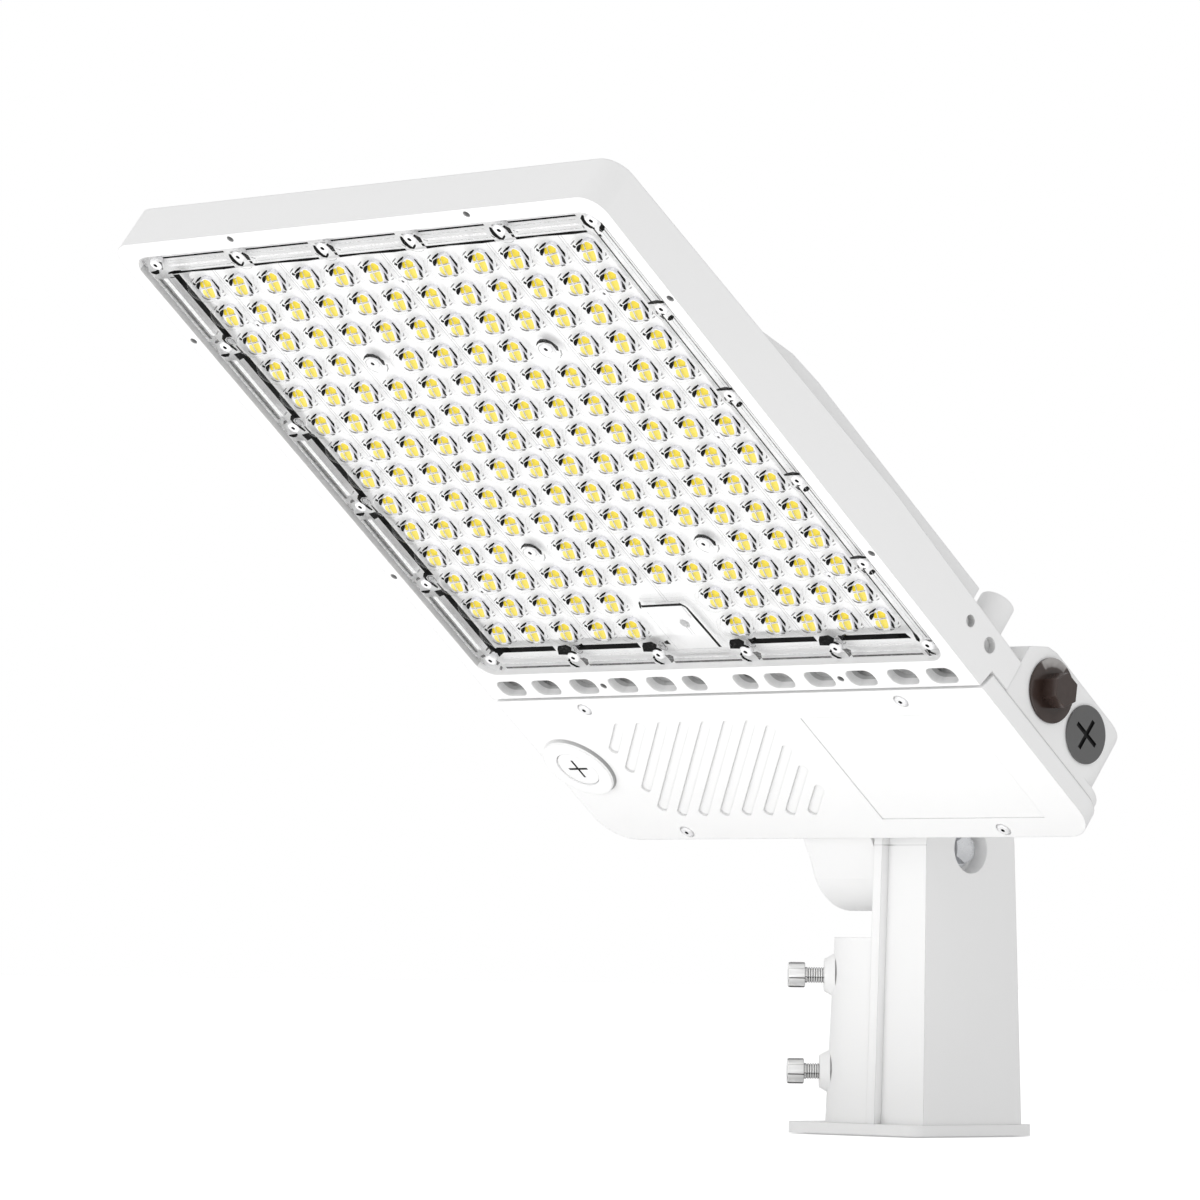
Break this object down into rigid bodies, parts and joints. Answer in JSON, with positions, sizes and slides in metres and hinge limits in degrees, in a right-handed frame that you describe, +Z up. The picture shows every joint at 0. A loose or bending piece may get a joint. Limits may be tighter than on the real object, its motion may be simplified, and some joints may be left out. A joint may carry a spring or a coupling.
{
  "type": "shoebox area light",
  "caption": "White die-cast outdoor LED area light: a flat lens panel and driver bay that tilt on a slip-fit arm clamped to a pole tenon by set bolts.",
  "frame": {"origin": "centre of the tenon socket's mouth, on the bottom of the base flange", "axes": "+Z up along the arm and socket, +X along the tilt axis towards the bolt head, -Y towards the front, where the head leans out"},
  "size_m": [0.345, 0.4533, 0.4509],
  "materials": {
    "white_cast": "die-cast aluminium, smooth satin white powder coat",
    "board_white": "white solder mask",
    "led_yellow": "yellow phosphor in a white package",
    "steel": "zinc plated",
    "white_steel": "white painted screw",
    "connector_white": "white moulding",
    "lens_clear": "clear polycarbonate",
    "black_rubber": "silicone seal",
    "white_plastic": "white moulding",
    "black_plastic": "black moulding",
    "driver_aluminium": "drawn case",
    "terminal_cream": "cream moulding",
    "brass_screw": "plated",
    "ground_green": "green finish",
    "photocell_brown": "smoky brown, half clear",
    "sensor_orange": "sensor face",
    "grey_plastic": "dark grey moulding"
  },
  "bodies": {
    "arm": {"mounting_arm": "white_cast", "joint_seal": "black_rubber", "hinge_bolt": "steel", "hinge_washer": "steel", "nut_washer": "steel", "hinge_nut": "steel"},
    "head": {"housing": "white_cast", "led_board": "board_white", "led_chips": "led_yellow", "board_screws": "steel", "board_connector": "connector_white", "lens_plate": "lens_clear", "lens_gasket": "black_rubber", "lens_edge_screws": "steel", "lens_centre_screws": "steel", "driver_cover": "white_cast", "cover_gasket": "black_rubber", "cover_screws": "white_steel", "sensor_port_plug": "white_plastic", "sensor_port_seal": "black_rubber", "sensor_port_nut": "black_plastic", "led_driver": "driver_aluminium", "driver_screws": "steel", "surge_protector": "black_plastic", "surge_screws": "steel", "terminal_block": "terminal_cream", "terminal_screws": "brass_screw", "ground_screw": "ground_green", "photocell_window": "photocell_brown", "photocell_sensor": "sensor_orange", "photocell_seal": "black_rubber", "photocell_nut": "black_plastic", "side_port_plug": "grey_plastic", "side_port_seal": "black_rubber", "side_port_nut": "black_plastic", "breather_plug": "black_plastic"},
    "set_bolt_upper_front": {"set_bolt_upper_front": "steel"},
    "set_bolt_lower_front": {"set_bolt_lower_front": "steel"},
    "set_bolt_upper_rear": {"set_bolt_upper_rear": "steel"},
    "set_bolt_lower_rear": {"set_bolt_lower_rear": "steel"}
  },
  "joints": [
    {"name": "head_tilt", "type": "hinge", "parent": "arm", "child": "head", "pos_m": [0, 0, 0.1455], "axis": [-1, 0, 0], "range_deg": [-38.4, 51.6]},
    {"name": "set_bolt_upper_front_slide", "type": "slide", "parent": "arm", "child": "set_bolt_upper_front", "axis": [0.7071, 0.7071, 0], "range_m": [0, 0.0075]},
    {"name": "set_bolt_lower_front_slide", "type": "slide", "parent": "arm", "child": "set_bolt_lower_front", "axis": [0.7071, 0.7071, 0], "range_m": [0, 0.0075]},
    {"name": "set_bolt_upper_rear_slide", "type": "slide", "parent": "arm", "child": "set_bolt_upper_rear", "axis": [0.7071, -0.7071, 0], "range_m": [0, 0.0075]},
    {"name": "set_bolt_lower_rear_slide", "type": "slide", "parent": "arm", "child": "set_bolt_lower_rear", "axis": [0.7071, -0.7071, 0], "range_m": [0, 0.0075]}
  ]
}
